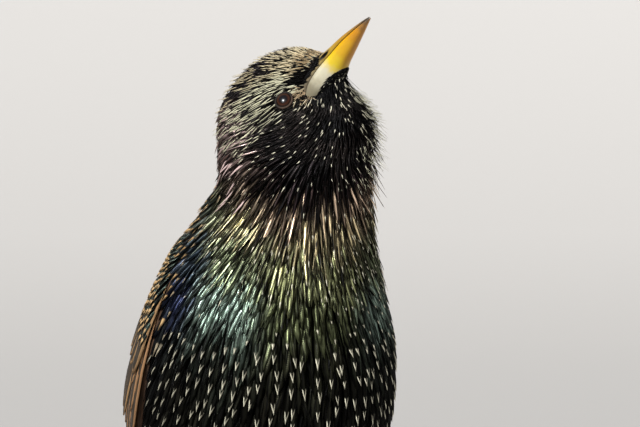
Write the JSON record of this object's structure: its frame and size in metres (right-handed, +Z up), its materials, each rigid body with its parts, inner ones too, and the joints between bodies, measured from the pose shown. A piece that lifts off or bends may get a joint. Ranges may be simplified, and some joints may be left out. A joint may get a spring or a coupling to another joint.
{
  "type": "common starling, life-size still model",
  "caption": "Spotted songbird standing upright on both feet, neck stretched and bill raised, throat hackles loose, wings folded and tail closed.",
  "frame": {"origin": "middle of the underside of the box that the bird fills, on the floor", "axes": "+Z up, -Y the way the body faces, -X the bird's own right side"},
  "size_m": [0.0748, 0.1608, 0.1918],
  "materials": {
    "plumage": "black body feathers with a green, bronze and purple gloss and cream tips",
    "flight_feathers": "dark brown vanes with buff to rusty edges",
    "bill_horn": "smooth yellow horn, pale at the base and greyish at the tip",
    "eye_gloss": "wet dark brown iris and black pupil",
    "leg_skin": "scaly reddish brown skin",
    "claw_horn": "dark brown horn"
  },
  "bodies": {
    "root": {"head": "plumage", "neck": "plumage", "torso": "plumage", "tail": "flight_feathers", "wing_right": "flight_feathers", "wing_left": "flight_feathers", "bill_upper": "bill_horn", "bill_lower": "bill_horn", "eye_right": "eye_gloss", "eye_left": "eye_gloss", "thigh_right": "plumage", "tarsus_right": "leg_skin", "foot_right": "leg_skin", "claw_inner_right": "claw_horn", "claw_middle_right": "claw_horn", "claw_outer_right": "claw_horn", "claw_hind_right": "claw_horn", "thigh_left": "plumage", "tarsus_left": "leg_skin", "foot_left": "leg_skin", "claw_inner_left": "claw_horn", "claw_middle_left": "claw_horn", "claw_outer_left": "claw_horn", "claw_hind_left": "claw_horn"}
  },
  "joints": []
}
